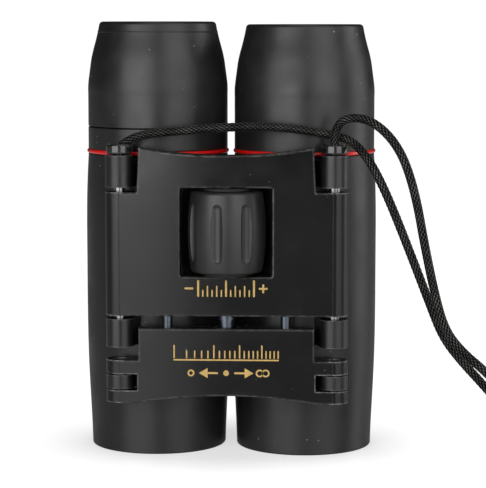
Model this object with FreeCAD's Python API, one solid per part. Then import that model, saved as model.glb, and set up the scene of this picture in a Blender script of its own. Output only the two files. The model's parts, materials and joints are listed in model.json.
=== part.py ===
"""Folding pocket binoculars with two hinges, a fluted focus wheel and a braided neck cord.

Frame: +Z up, the front of the hinge plates faces -Y, +X is to the right seen from the front.
Origin: middle of the underside of the object's box, cord left out. Units: millimetres.
Each sub-part is one solid, or one group of like solids, in parts/NAME.step.
"""
import FreeCAD, Part
import math
import os

V = FreeCAD.Vector
UP = V(0, 0, 1)

# ---- overall sizes -------------------------------------------------------------------------
HEIGHT = 95.0                 # objective rim to eyecup rim
ARMOUR_RADIUS = 16.1          # widest radius of the rubber armour
BARREL_GAP = 0.6              # between the two barrels when folded shut
HINGE_OUTSET = 6.8            # hinge axes, outboard of the barrels' middles
WHEEL_RADIUS = 8.4
SWING_GAP = 0.6               # between the barrels and what they swing past

# ---- barrel shell --------------------------------------------------------------------------
ARMOUR_WALL = 1.5
TUBE_WALL = 1.55
GLUE_GAP = 0.05               # between pieces that are glued or pressed together
RUNNING = 0.3                 # between moving pieces that aren't a fit
PIN_FIT = 0.05                # radial clearance of a pin or shaft in its bore
TUBE_BOTTOM = 2.4
RIM_LIP_TOP = 2.2
RIM_LIP_WIDTH = 1.2
RIM_ROUND = 0.35
NECK_WALL = 1.0
ARMOUR_TOP = 65.7
RING_BOTTOM = 65.9
RING_TOP = 66.8
RING_INSET = 0.2              # red ring and eyecup, inside the armour's widest radius
NECK_TOP = 71.0
SEAM_Z = 71.7                 # where the dioptre ring meets its fixed collar
SEAM_GAP = 0.25
EYECUP_INSET = 0.5
EYECUP_TAPER = 2.7            # how much smaller the rim is than the skirt
EYECUP_LIP = 3.1              # width of the rim
EYECUP_MOUTH_DEPTH = 9.0
RIGHT_EYECUP_DROP = 0.6       # right eyecup's rim, below the left one's
EYECUP_WALL = 2.4

# ---- hinge knuckles ------------------------------------------------------------------------
KNUCKLE_RADIUS = 3.05
HINGE_PIN_RADIUS = 1.2
ARM_WIDTH = 5.6
LOWER_ARM = (24.9, 31.0)      # heights of the barrel's lower bracket
UPPER_ARM = (59.5, 65.3)      # heights of the barrel's upper bracket
UPPER_KNUCKLE_TOP = 66.4
LUG_RADIUS = 2.9
LUG_HEIGHTS = (66.7, 68.7)
LUG_HOLE_RADIUS = 1.15

# ---- main hinge plate ----------------------------------------------------------------------
PLATE_THICKNESS = 3.6
PLATE_HEIGHTS = (31.8, 58.5)
PLATE_CREST = 68.1
PLATE_CREST_DIP = 1.6
PLATE_CREST_INSET = 4.4       # from the hinge axes
PLATE_CREST_FLARE = 0.45      # how much wider the crest is at its foot, either side
WINDOW_MARGIN = 1.5           # beside the wheel
WINDOW_HEIGHTS = (40.4, 59.5)
WINDOW_CORNER = 0.4
BOSS_HALF = 4.2
BOSS_DEPTH = 3.4
EDGE_ROUND = 0.35

# ---- focus drive ---------------------------------------------------------------------------
WHEEL_HEIGHTS = (41.3, 58.75)
WHEEL_CROWN = 0.7             # how much smaller the wheel's ends are
HUB_RADIUS = 4.9
FLUTE_COUNT = 8
FLUTE_WIDTH = 2.8
FLUTE_DEPTH = 0.7
FLUTE_LENGTH = 14.2
FLUTE_TURN = -12.0            # degrees
SHAFT_RADIUS = 2.0
SCREW_RADIUS = 1.75
SCREW_BOTTOM = 17.6
NUT_RADIUS = 2.5
NUT_HEIGHTS = (20.0, 28.6)
BUSH_WALL = 0.6
WASHER_RADIUS = 5.2
FOCUS_TRAVEL = 1.5            # either way from rest

# ---- focus plate ---------------------------------------------------------------------------
FOCUS_TOP = 29.1
FOCUS_INSET = 4.2             # from the hinge axes
FOCUS_UPPER_ARM = (19.1, 22.1)
FOCUS_LOWER_ARM = (12.8, 15.5)
FOCUS_BELLY = 14.4            # height of the bottom edge in the middle
ROD_X = 12.8
ROD_RADIUS = 1.1
ROD_HEIGHTS = (16.6, 37.6)

# ---- optics --------------------------------------------------------------------------------
OBJECTIVE_TUBE = (4.4, 27.0)
OBJECTIVE_WALL = 1.1
OBJECTIVE_LENS_Z = 5.6
EAR_HEIGHTS = (15.8, 18.8)
PRISM_HOLDER = (30.0, 56.0)
PRISM_POCKET_WALL = 2.53      # at the pocket's corners
SLEEVE_WALL = 1.1
SLEEVE_BOTTOM = 61.5
CELL_BOTTOM = 58.3
CELL_TRAVEL = 0.8
CELL_WALL = 1.4
EYE_LENS_THICKNESS = 4.2
FIELD_LENS_Z = 67.6
LENS_GAP = 0.1
FLINT_THICKNESS = 1.4           # rear objective lens, at its middle

# ---- neck cord -----------------------------------------------------------------------------
CORD_DIAMETER = 2.0
COIL_CENTRE = (88.0, -22.0)
COIL_RADIUS = 12.0            # middle of the turns
COIL_WIDTH = 6.4
COIL_HEIGHTS = (0.45, 6.85)
TIE_WIDTH = 3.0
TIE_THICKNESS = 0.4
CORD_LEFT = [
    (-22.9, -13.3, 68.3), (-20.8, -13.0, 69.9), (-16.6, -12.4, 71.0), (-8.6, -11.9, 71.6),
    (2.0, -11.8, 72.5), (12.8, -11.7, 72.3), (20.4, -11.4, 71.1), (26.3, -12.9, 70.0),
    (29.9, -17.0, 66.6), (32.9, -19.8, 61.4), (35.9, -20.7, 54.6), (39.8, -20.7, 44.8),
    (43.3, -20.5, 35.8), (46.2, -20.4, 28.4), (50.2, -20.3, 23.2), (56.0, -20.3, 17.0),
    (61.2, -19.6, 10.6), (66.6, -17.0, 4.9), (72.4, -12.9, 2.0), (79.6, -10.2, 1.55),
    (87.0, -10.0, 1.5),
]
CORD_RIGHT = [
    (23.2, -14.1, 67.9), (23.0, -14.2, 71.5), (25.1, -15.2, 74.4), (28.9, -17.2, 74.7),
    (32.4, -19.7, 73.1), (35.6, -21.7, 69.9), (38.1, -23.0, 65.4), (40.3, -23.9, 58.0),
    (42.1, -24.3, 48.2), (44.2, -24.4, 38.4), (46.4, -24.3, 30.6), (50.0, -24.2, 25.9),
    (55.6, -24.1, 21.2), (60.7, -24.7, 15.6), (65.8, -26.8, 9.4), (71.6, -30.6, 4.2),
    (79.0, -33.6, 1.7), (87.0, -34.0, 1.5),
]

# ---- worked out ----------------------------------------------------------------------------
BARREL_X = ARMOUR_RADIUS + BARREL_GAP / 2
HINGE_HALF_SPAN = BARREL_X + HINGE_OUTSET
WHEEL_FORWARD = math.sqrt((ARMOUR_RADIUS + WHEEL_RADIUS + SWING_GAP) ** 2 - BARREL_X ** 2)
KNUCKLE_FORWARD = math.sqrt((ARMOUR_RADIUS + KNUCKLE_RADIUS + SWING_GAP) ** 2 - HINGE_OUTSET ** 2)
HINGE_FORWARD = max(WHEEL_FORWARD, KNUCKLE_FORWARD)
DEPTH = HINGE_FORWARD + WHEEL_RADIUS + ARMOUR_RADIUS
BARREL_Y = DEPTH / 2 - ARMOUR_RADIUS
HINGE_Y = BARREL_Y - HINGE_FORWARD
PLATE_FRONT_Y = HINGE_Y - KNUCKLE_RADIUS
PLATE_BACK_Y = PLATE_FRONT_Y + PLATE_THICKNESS
ROD_Y = PLATE_FRONT_Y + PLATE_THICKNESS / 2
WHEEL_END_RADIUS = WHEEL_RADIUS - WHEEL_CROWN
WINDOW_HALF = WHEEL_RADIUS + WINDOW_MARGIN
PLATE_CREST_HALF = HINGE_HALF_SPAN - PLATE_CREST_INSET
FOCUS_HALF = HINGE_HALF_SPAN - FOCUS_INSET
BUSH_RADIUS = SHAFT_RADIUS + BUSH_WALL
RING_RADIUS = ARMOUR_RADIUS - RING_INSET
EYECUP_RADIUS = ARMOUR_RADIUS - EYECUP_INSET
EYECUP_RIM_RADIUS = EYECUP_RADIUS - EYECUP_TAPER
EYECUP_MOUTH_RADIUS = EYECUP_RIM_RADIUS - EYECUP_LIP
EYECUP_FLOOR = HEIGHT - EYECUP_MOUTH_DEPTH
CELL_TOP = EYECUP_FLOOR - CELL_TRAVEL - 0.4
EYE_LENS_Z = CELL_TOP - 0.6 - EYE_LENS_THICKNESS
TUBE_RADIUS = ARMOUR_RADIUS - ARMOUR_WALL - GLUE_GAP
BORE_RADIUS = TUBE_RADIUS - TUBE_WALL
OBJECTIVE_RADIUS = BORE_RADIUS - RUNNING
NECK_RADIUS = BORE_RADIUS + NECK_WALL
SLEEVE_RADIUS = BORE_RADIUS - 2 * PIN_FIT
CELL_RADIUS = SLEEVE_RADIUS - SLEEVE_WALL - RUNNING
PRISM_HALF = (BORE_RADIUS - PRISM_POCKET_WALL) / math.sqrt(2)
LENS_RADIUS = OBJECTIVE_RADIUS - OBJECTIVE_WALL - LENS_GAP
EYE_LENS_RADIUS = CELL_RADIUS - CELL_WALL - LENS_GAP
SIDES = {"left": -1, "right": 1}

shapes = {}


# ---- building blocks -----------------------------------------------------------------------
def cylinder(radius, bottom, top, x=0.0, y=0.0):
    """Upright cylinder between two heights."""
    return Part.makeCylinder(radius, top - bottom, V(x, y, bottom), UP)


def ring(outer, inner, bottom, top, x=0.0, y=0.0):
    """Upright tube between two heights."""
    return cylinder(outer, bottom, top, x, y).cut(cylinder(inner, bottom - 1, top + 1, x, y))


def block(x0, x1, y0, y1, z0, z1):
    """Box between two corners."""
    return Part.makeBox(x1 - x0, y1 - y0, z1 - z0, V(x0, y0, z0))


def turned(edges):
    """Solid of revolution about Z from the edges of a closed outline in the XZ plane."""
    face = Part.Face(Part.Wire(edges))
    return face.revolve(V(0, 0, 0), UP, 360)


def line(a, b):
    """Straight edge between two (radius, height) points of an outline."""
    return Part.LineSegment(V(a[0], 0, a[1]), V(b[0], 0, b[1])).toShape()


def polyline(points):
    """Straight edges through (radius, height) points in order."""
    return [line(a, b) for a, b in zip(points, points[1:])]


def smooth(points):
    """One spline edge through (radius, height) points."""
    curve = Part.BSplineCurve()
    curve.interpolate([V(r, 0, z) for r, z in points])
    return curve.toShape()


def placed(shape, x, y, z=0.0):
    """The shape moved from the origin."""
    moved = shape.copy()
    moved.translate(V(x, y, z))
    return moved


def rounded(shape, edges, radius):
    """The shape with a fillet on the given edges."""
    return shape.makeFillet(radius, edges)


def flat_edges(shape, y):
    """Edges of a shape that lie in the plane at depth y."""
    return [e for e in shape.Edges
            if abs(e.BoundBox.YMin - y) < 1e-6 and abs(e.BoundBox.YMax - y) < 1e-6]


def group(solids):
    """Separate like solids as one compound."""
    return Part.makeCompound(solids)


def bracket(side, reach, heights, width):
    """Bar from a barrel's middle to its hinge axis, starting `reach` from the middle."""
    sign = SIDES[side]
    start = V(sign * BARREL_X, BARREL_Y, 0)
    end = V(sign * HINGE_HALF_SPAN, HINGE_Y, 0)
    span = end.sub(start).Length
    bar = block(reach, span, -width / 2, width / 2, heights[0], heights[1])
    angle = math.degrees(math.atan2(end.y - start.y, end.x - start.x))
    bar.rotate(V(0, 0, 0), UP, angle)
    bar.translate(start)
    return bar


def hinge_cylinder(side, radius, bottom, top):
    """Upright cylinder on one hinge axis."""
    return cylinder(radius, bottom, top, SIDES[side] * HINGE_HALF_SPAN, HINGE_Y)


# ---- barrels -------------------------------------------------------------------------------
def armour_profile():
    """(radius, height) points down the outside of the rubber armour."""
    swell = ARMOUR_RADIUS
    return [(swell - 0.5, ARMOUR_TOP), (swell - 0.25, 61.0), (swell - 0.05, 55.0), (swell, 44.0),
            (swell, 34.0), (swell - 0.1, 23.0), (swell - 0.4, 14.0), (swell - 0.75, 7.0),
            (swell - 1.0, RIM_ROUND + 0.1)]


def make_armour(side):
    """Rubber armour: a slim barrel shape with a rolled rim that the object stands on."""
    inner = ARMOUR_RADIUS - ARMOUR_WALL
    lip = inner - RIM_LIP_WIDTH
    outside = armour_profile()
    foot = outside[-1]
    flat = foot[0] - RIM_ROUND
    rim_round = Part.Arc(V(foot[0], 0, foot[1]), V(foot[0] - 0.1, 0, 0.13), V(flat, 0, 0))
    edges = [smooth(outside), rim_round.toShape()]
    edges += polyline([(flat, 0), (lip + 0.4, 0), (lip, 0.4), (lip, RIM_LIP_TOP),
                       (inner, RIM_LIP_TOP), (inner, ARMOUR_TOP), outside[0]])
    body = placed(turned(edges), SIDES[side] * BARREL_X, BARREL_Y)
    for heights in (LOWER_ARM, UPPER_ARM):
        slot = (heights[0] - 0.1, heights[1] + 0.1)
        body = body.cut(bracket(side, inner - 4, slot, ARM_WIDTH + 0.2))
    return body.cut(ear_slot(side))


def ear_slot(side):
    """Window that the objective tube's ear moves in."""
    clear = FOCUS_TRAVEL + 0.5
    heights = (EAR_HEIGHTS[0] - clear, EAR_HEIGHTS[1] + clear)
    return bracket(side, BORE_RADIUS - 4, heights, ARM_WIDTH + 1.0)


def make_tube(side):
    """Moulded barrel tube with its two hinge brackets and the neck that carries the eyepiece."""
    x = SIDES[side] * BARREL_X
    body = cylinder(TUBE_RADIUS, TUBE_BOTTOM, ARMOUR_TOP, x, BARREL_Y)
    body = body.fuse(cylinder(NECK_RADIUS, ARMOUR_TOP - 1, NECK_TOP, x, BARREL_Y))
    for heights in (LOWER_ARM, UPPER_ARM):
        body = body.fuse(bracket(side, TUBE_RADIUS - 1, heights, ARM_WIDTH))
    body = body.fuse(hinge_cylinder(side, KNUCKLE_RADIUS, *LOWER_ARM))
    body = body.fuse(hinge_cylinder(side, KNUCKLE_RADIUS, UPPER_ARM[0], UPPER_KNUCKLE_TOP))
    body = body.cut(cylinder(BORE_RADIUS, 0, NECK_TOP + 1, x, BARREL_Y))
    body = body.cut(hinge_cylinder(side, HINGE_PIN_RADIUS + PIN_FIT, 20, 70))
    return body.cut(ear_slot(side)).removeSplitter()


def make_red_ring(side):
    """Glossy trim ring with a rounded outer edge."""
    middle = (RING_BOTTOM + RING_TOP) / 2
    inner = NECK_RADIUS + GLUE_GAP
    edges = polyline([(RING_RADIUS - 0.3, RING_TOP), (inner, RING_TOP), (inner, RING_BOTTOM),
                      (RING_RADIUS - 0.3, RING_BOTTOM)])
    bulge = Part.Arc(V(RING_RADIUS - 0.3, 0, RING_BOTTOM), V(RING_RADIUS, 0, middle),
                     V(RING_RADIUS - 0.3, 0, RING_TOP))
    return placed(turned(edges + [bulge.toShape()]), SIDES[side] * BARREL_X, BARREL_Y)


def make_eyecup(side, bottom):
    """Tapered rubber eyecup: a straight skirt, a curved shoulder and an open mouth."""
    rim = EYECUP_RIM_RADIUS
    top = HEIGHT - (RIGHT_EYECUP_DROP if side == "right" else 0.0)
    inner = EYECUP_RADIUS - EYECUP_WALL
    narrowing = [(0.0, 16.0), (0.04, 13.0), (0.15, 10.8), (0.26, 8.6), (0.444, 6.3), (0.667, 4.1),
                 (0.852, 2.0), (0.944, 0.7)]
    shoulder = [(EYECUP_RADIUS - share * (EYECUP_RADIUS - rim), top - depth)
                for share, depth in narrowing]
    start = shoulder[-1]
    corner = Part.Arc(V(start[0], 0, start[1]), V(rim - 0.15, 0, top - 0.2),
                      V(rim - 0.8, 0, top))
    edges = [line((EYECUP_RADIUS, bottom), shoulder[0]), smooth(shoulder), corner.toShape()]
    edges += polyline([(rim - 0.8, top), (EYECUP_MOUTH_RADIUS + 1.2, top),
                       (EYECUP_MOUTH_RADIUS, top - 1.2), (EYECUP_MOUTH_RADIUS, EYECUP_FLOOR),
                       (inner, EYECUP_FLOOR), (inner, bottom)])
    edges.append(line((inner, bottom), (EYECUP_RADIUS, bottom)))
    body = turned(edges)
    if bottom < NECK_TOP:
        body = body.cut(cylinder(NECK_RADIUS + GLUE_GAP, bottom - 1, NECK_TOP + 0.2))
    return placed(body, SIDES[side] * BARREL_X, BARREL_Y)


def make_sleeve(side):
    """Eyepiece sleeve: a spigot in the neck and a wider seat for the eyecup."""
    seat = EYECUP_RADIUS - EYECUP_WALL - GLUE_GAP
    inner = SLEEVE_RADIUS - SLEEVE_WALL
    top = EYECUP_FLOOR - 0.1
    body = cylinder(SLEEVE_RADIUS, SLEEVE_BOTTOM, SEAM_Z + 1).fuse(cylinder(seat, SEAM_Z + 0.5, top))
    body = body.cut(cylinder(inner, SLEEVE_BOTTOM - 1, top + 1))
    return placed(body.removeSplitter(), SIDES[side] * BARREL_X, BARREL_Y)


def dome(radius, sag, pole):
    """Sphere whose surface falls by `sag` at `radius` from its pole, poled at height `pole`."""
    size = (radius ** 2 + sag ** 2) / (2 * abs(sag))
    centre = pole - math.copysign(size, sag)
    return Part.makeSphere(size, V(0, 0, centre), V(1, 0, 0))


def lens(radius, bottom, thickness, sag):
    """Lens with two bulged faces, its middle `thickness` thick."""
    disc = cylinder(radius, bottom, bottom + thickness)
    return disc.common(dome(radius, sag, bottom + thickness)).common(dome(radius, -sag, bottom))


def make_flint(radius, bottom, sag):
    """Rear objective lens: its front face is hollow to take the front lens."""
    disc = cylinder(radius, bottom, bottom + sag + FLINT_THICKNESS)
    return disc.cut(dome(radius, sag, bottom + sag))


def make_objective_tube(side):
    """Sliding objective tube with the ear that the focus plate moves."""
    x = SIDES[side] * BARREL_X
    body = cylinder(OBJECTIVE_RADIUS, *OBJECTIVE_TUBE, x, BARREL_Y)
    body = body.fuse(bracket(side, OBJECTIVE_RADIUS - 1, EAR_HEIGHTS, ARM_WIDTH))
    body = body.fuse(hinge_cylinder(side, KNUCKLE_RADIUS, *EAR_HEIGHTS))
    body = body.cut(cylinder(OBJECTIVE_RADIUS - OBJECTIVE_WALL, 0, 40, x, BARREL_Y))
    return body.cut(hinge_cylinder(side, HINGE_PIN_RADIUS + PIN_FIT, 10, 30)).removeSplitter()


def make_prisms():
    """Pocketed holder, the two prisms in it and the spring clip over them, at the origin."""
    low, high = PRISM_HOLDER
    half = PRISM_HALF
    wall = half + 0.25
    holder = cylinder(BORE_RADIUS - GLUE_GAP, low, high)
    holder = holder.cut(block(-wall, wall, -wall, wall, low + 2.5, high + 1))
    holder = holder.cut(cylinder(half - 1.2, low - 1, low + 3))
    floor = low + 2.7
    top = high - 1.4
    split = (floor + top) / 2

    def wedge(points):
        """Prism across the pocket from an outline in its XZ plane."""
        outline = [V(px, -half, pz) for px, pz in points + points[:1]]
        return Part.Face(Part.makePolygon(outline)).extrude(V(0, 2 * half, 0))

    first = wedge([(-half, floor), (half, floor), (half, split - 3.6), (-half, split + 3.2)])
    second = wedge([(-half, split + 3.6), (half, split - 3.2), (half, top), (-half, top)])
    clip = block(-BORE_RADIUS + 1.2, BORE_RADIUS - 1.2, -2.6, 2.6, high + 0.05, high + 0.45)
    clip = clip.fuse(block(-1.8, 1.8, -5.5, 5.5, high + 0.05, high + 0.45))
    return {"prism_holder": holder, "lower_prism": first, "roof_prism": second,
            "prism_clip": clip.removeSplitter()}


def make_barrel(side):
    """All pieces of one barrel."""
    x = SIDES[side] * BARREL_X
    fixed_top = SEAM_Z if side == "left" else None
    eyecup_bottom = SEAM_Z + SEAM_GAP if fixed_top else RING_TOP + GLUE_GAP
    pieces = {
        "tube": make_tube(side),
        "armour": make_armour(side),
        "red_ring": make_red_ring(side),
        "eyecup": make_eyecup(side, eyecup_bottom),
        "eyepiece_sleeve": make_sleeve(side),
        "objective_tube": make_objective_tube(side),
    }
    if fixed_top:
        skirt = ring(EYECUP_RADIUS, NECK_RADIUS + GLUE_GAP, RING_TOP + GLUE_GAP, fixed_top)
        outer = [e for e in skirt.Edges if abs(e.BoundBox.XMax - EYECUP_RADIUS) < 1e-3
                 and e.BoundBox.ZLength < 1e-3]
        pieces["collar"] = placed(rounded(skirt, outer, 0.2), x, BARREL_Y)
    for name, shape in make_prisms().items():
        pieces[name] = placed(shape, x, BARREL_Y)
    cell_inner = CELL_RADIUS - CELL_WALL
    cell = ring(CELL_RADIUS, cell_inner, CELL_BOTTOM, CELL_TOP)
    cell = cell.fuse(ring(cell_inner + 0.1, cell_inner - 1.0, CELL_TOP - 0.6, CELL_TOP))
    spacer_bottom = FIELD_LENS_Z + 3.1
    optics = {
        "eyepiece_cell": cell.removeSplitter(),
        "field_lens": lens(EYE_LENS_RADIUS, FIELD_LENS_Z, 3.0, 0.8),
        "lens_spacer": ring(EYE_LENS_RADIUS, EYE_LENS_RADIUS - 0.8, spacer_bottom - 0.7,
                            EYE_LENS_Z + 0.7),
        "eye_lens": lens(EYE_LENS_RADIUS, EYE_LENS_Z, EYE_LENS_THICKNESS, 1.0),
        "objective_front_lens": lens(LENS_RADIUS, OBJECTIVE_LENS_Z, 3.6, 0.9),
        "objective_rear_lens": make_flint(LENS_RADIUS, OBJECTIVE_LENS_Z + 2.8, 0.9),
        "objective_ring": ring(LENS_RADIUS + LENS_GAP / 2, LENS_RADIUS - 0.9,
                               OBJECTIVE_TUBE[0] + 0.2, OBJECTIVE_LENS_Z + 0.7),
    }
    for name, shape in optics.items():
        pieces[name] = placed(shape, x, BARREL_Y)
    for name, shape in pieces.items():
        shapes[side + "_" + name] = shape


# ---- main hinge plate ----------------------------------------------------------------------
def plate_solid(outline):
    """Plate of the common thickness from the edges of a front-view outline."""
    face = Part.Face(Part.Wire(outline))
    return face.extrude(V(0, PLATE_THICKNESS, 0))


def front_points(points):
    """Straight edges through (x, z) points on the plates' front plane."""
    places = [V(px, PLATE_FRONT_Y, pz) for px, pz in points]
    return [Part.LineSegment(a, b).toShape() for a, b in zip(places, places[1:])]


def front_arc(a, middle, b):
    """Arc edge through three (x, z) points on the plates' front plane."""
    ends = [V(px, PLATE_FRONT_Y, pz) for px, pz in (a, middle, b)]
    return Part.Arc(*ends).toShape()


def make_bridge_plate():
    """Main plate: side knuckles, wheel window, bearing bosses and bores for the guide rods."""
    low, high = PLATE_HEIGHTS
    span = HINGE_HALF_SPAN
    crest = PLATE_CREST_HALF
    dip = PLATE_CREST - PLATE_CREST_DIP
    foot = crest + PLATE_CREST_FLARE
    right_up = [(foot, high), (crest, PLATE_CREST)]
    outline = front_points([(-foot, high), (-span, high), (-span, low), (span, low), (span, high)]
                           + right_up)
    outline.append(front_arc((crest, PLATE_CREST), (0, dip), (-crest, PLATE_CREST)))
    outline += front_points([(-crest, PLATE_CREST), (-foot, high)])
    body = plate_solid(outline)
    window = block(-WINDOW_HALF, WINDOW_HALF, PLATE_FRONT_Y - 1, PLATE_BACK_Y + 1, *WINDOW_HEIGHTS)
    upright = [e for e in window.Edges if e.BoundBox.YLength > 1]
    body = body.cut(rounded(window, upright, WINDOW_CORNER))
    body = rounded(body, flat_edges(body, PLATE_FRONT_Y), EDGE_ROUND)
    for heights in ((low, WINDOW_HEIGHTS[0]), (WINDOW_HEIGHTS[1], dip - 0.6)):
        body = body.fuse(block(-BOSS_HALF, BOSS_HALF, PLATE_BACK_Y - 0.5,
                               PLATE_BACK_Y + BOSS_DEPTH, *heights))
    for side in SIDES:
        body = body.fuse(hinge_cylinder(side, KNUCKLE_RADIUS, low, high))
    for side, sign in SIDES.items():
        body = body.cut(hinge_cylinder(side, HINGE_PIN_RADIUS + PIN_FIT, low - 1, high + 1))
        bore_top = ROD_HEIGHTS[1] + FOCUS_TRAVEL + 0.6
        body = body.cut(cylinder(ROD_RADIUS + PIN_FIT, low - 1, bore_top, sign * ROD_X, ROD_Y))
    shaft_hole = cylinder(BUSH_RADIUS + GLUE_GAP, low - 1, WINDOW_HEIGHTS[0] + 1, 0, HINGE_Y)
    journal_hole = cylinder(BUSH_RADIUS + GLUE_GAP, WINDOW_HEIGHTS[1] - 1, dip - 2, 0, HINGE_Y)
    return body.cut(shaft_hole).cut(journal_hole).removeSplitter()


def make_lug(side):
    """Cord lug on top of a hinge pin, with the hole that the cord comes out of."""
    body = hinge_cylinder(side, LUG_RADIUS, *LUG_HEIGHTS)
    rims = [e for e in body.Edges if e.BoundBox.ZLength < 1e-6 and e.BoundBox.XLength > 1]
    body = rounded(body, rims, 0.4)
    body = body.cut(hinge_cylinder(side, HINGE_PIN_RADIUS + GLUE_GAP, LUG_HEIGHTS[0] - 1,
                                   LUG_HEIGHTS[0] + 0.8))
    notch_x = SIDES[side] * (HINGE_HALF_SPAN + LUG_RADIUS)
    return body.cut(cylinder(LUG_HOLE_RADIUS, LUG_HEIGHTS[0] + 0.6, LUG_HEIGHTS[1] + 1,
                             notch_x, HINGE_Y))


def make_bridge():
    """The fixed middle: main plate, upper pins, cord lugs, bushes and wheel washers."""
    shapes["bridge_plate"] = make_bridge_plate()
    pin_top = LUG_HEIGHTS[0] + 0.7
    shapes["upper_hinge_pins"] = group([
        hinge_cylinder(side, HINGE_PIN_RADIUS, LOWER_ARM[0] + 0.1, pin_top) for side in SIDES])
    for side in SIDES:
        shapes[side + "_cord_lug"] = make_lug(side)
    low = PLATE_HEIGHTS[0] + 0.1
    dip = PLATE_CREST - PLATE_CREST_DIP
    shapes["shaft_bushes"] = group([
        ring(BUSH_RADIUS, SHAFT_RADIUS + PIN_FIT, low, WINDOW_HEIGHTS[0] - 0.1, 0, HINGE_Y),
        ring(BUSH_RADIUS, SHAFT_RADIUS + PIN_FIT, WINDOW_HEIGHTS[1] + 0.05, dip - 2.1, 0, HINGE_Y)])
    shapes["wheel_washers"] = group([
        ring(WASHER_RADIUS, SHAFT_RADIUS + PIN_FIT, WHEEL_HEIGHTS[1] + 0.15,
             WINDOW_HEIGHTS[1] - 0.1, 0, HINGE_Y),
        ring(WASHER_RADIUS, SHAFT_RADIUS + PIN_FIT, WINDOW_HEIGHTS[0] + 0.1,
             WHEEL_HEIGHTS[0] - 0.15, 0, HINGE_Y)])


# ---- focus drive ---------------------------------------------------------------------------
def make_wheel_grip():
    """Crowned rubber grip of the focus wheel with long rounded flutes."""
    low, high = WHEEL_HEIGHTS
    middle = (low + high) / 2
    crown = Part.Arc(V(WHEEL_END_RADIUS, 0, low), V(WHEEL_RADIUS, 0, middle),
                     V(WHEEL_END_RADIUS, 0, high))
    edges = [crown.toShape()] + polyline([(WHEEL_END_RADIUS, high), (HUB_RADIUS, high),
                                          (HUB_RADIUS, low), (WHEEL_END_RADIUS, low)])
    body = turned(edges)
    rims = [e for e in body.Edges if e.BoundBox.ZLength < 1e-6
            and e.BoundBox.XLength > 2 * WHEEL_END_RADIUS - 0.1]
    body = rounded(body, rims, 0.6)
    cutter_radius = (FLUTE_WIDTH ** 2 / 4 + FLUTE_DEPTH ** 2) / (2 * FLUTE_DEPTH)
    reach = WHEEL_RADIUS - FLUTE_DEPTH + cutter_radius
    half = FLUTE_LENGTH / 2 - cutter_radius
    for index in range(FLUTE_COUNT):
        angle = math.radians(FLUTE_TURN + index * 360.0 / FLUTE_COUNT)
        x = reach * math.sin(angle)
        y = -reach * math.cos(angle)
        cutter = cylinder(cutter_radius, middle - half, middle + half, x, y)
        for z in (middle - half, middle + half):
            cutter = cutter.fuse(Part.makeSphere(cutter_radius, V(x, y, z)))
        body = body.cut(cutter)
    return placed(body, 0, HINGE_Y)


def make_focus_screw():
    """Hub, shaft and threaded end of the focus wheel in one turned piece."""
    low, high = WHEEL_HEIGHTS
    top = PLATE_CREST - PLATE_CREST_DIP - 2.4
    body = cylinder(HUB_RADIUS - GLUE_GAP, low, high, 0, HINGE_Y)
    body = body.fuse(cylinder(SHAFT_RADIUS, FOCUS_TOP + FOCUS_TRAVEL + 0.2, top, 0, HINGE_Y))
    body = body.fuse(cylinder(SCREW_RADIUS, SCREW_BOTTOM, PLATE_HEIGHTS[0], 0, HINGE_Y))
    return body.removeSplitter()


def make_focus_plate():
    """Sliding lower plate: forked arms at each side, nut boss and seats for the guide rods."""
    arm_low, arm_high = FOCUS_LOWER_ARM[0], FOCUS_UPPER_ARM[1]
    half = FOCUS_HALF
    span = HINGE_HALF_SPAN
    outline = front_points([(-half, FOCUS_TOP), (-half, arm_high), (-span, arm_high),
                            (-span, arm_low), (-half, arm_low)])
    outline.append(front_arc((-half, arm_low), (0, FOCUS_BELLY), (half, arm_low)))
    outline += front_points([(half, arm_low), (span, arm_low), (span, arm_high), (half, arm_high),
                             (half, FOCUS_TOP), (-half, FOCUS_TOP)])
    body = plate_solid(outline)
    body = rounded(body, flat_edges(body, PLATE_FRONT_Y), EDGE_ROUND)
    body = body.fuse(block(-BOSS_HALF, BOSS_HALF, PLATE_BACK_Y - 0.5, PLATE_BACK_Y + BOSS_DEPTH,
                           FOCUS_BELLY + 2.6, FOCUS_TOP))
    for side in SIDES:
        body = body.fuse(hinge_cylinder(side, KNUCKLE_RADIUS, arm_low, arm_high))
    for side, sign in SIDES.items():
        inner = sign * (half + 0.25)
        outer = sign * (span + KNUCKLE_RADIUS + 1)
        body = body.cut(block(min(inner, outer), max(inner, outer), PLATE_FRONT_Y - 1,
                              HINGE_Y + KNUCKLE_RADIUS + 1, FOCUS_LOWER_ARM[1], FOCUS_UPPER_ARM[0]))
        body = body.cut(hinge_cylinder(side, HINGE_PIN_RADIUS + GLUE_GAP, arm_low - 1, arm_high + 1))
        body = body.cut(cylinder(ROD_RADIUS + GLUE_GAP, ROD_HEIGHTS[0], FOCUS_TOP + 1,
                                 sign * ROD_X, ROD_Y))
    nut_hole = cylinder(NUT_RADIUS + GLUE_GAP, SCREW_BOTTOM - 2.2, FOCUS_TOP + 1, 0, HINGE_Y)
    return body.cut(nut_hole).removeSplitter()


def make_focus_drive():
    """Wheel, screw, nut, sliding plate, guide rods and lower pins."""
    shapes["wheel_grip"] = make_wheel_grip()
    shapes["focus_screw"] = make_focus_screw()
    shapes["focus_plate"] = make_focus_plate()
    shapes["focus_nut"] = ring(NUT_RADIUS, SCREW_RADIUS + PIN_FIT, *NUT_HEIGHTS, 0, HINGE_Y)
    shapes["guide_rods"] = group([cylinder(ROD_RADIUS, ROD_HEIGHTS[0] + 0.1, ROD_HEIGHTS[1],
                                           sign * ROD_X, ROD_Y) for sign in SIDES.values()])
    shapes["lower_hinge_pins"] = group([
        hinge_cylinder(side, HINGE_PIN_RADIUS, FOCUS_LOWER_ARM[0] + 0.1, FOCUS_UPPER_ARM[1] - 0.1)
        for side in SIDES])


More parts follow.
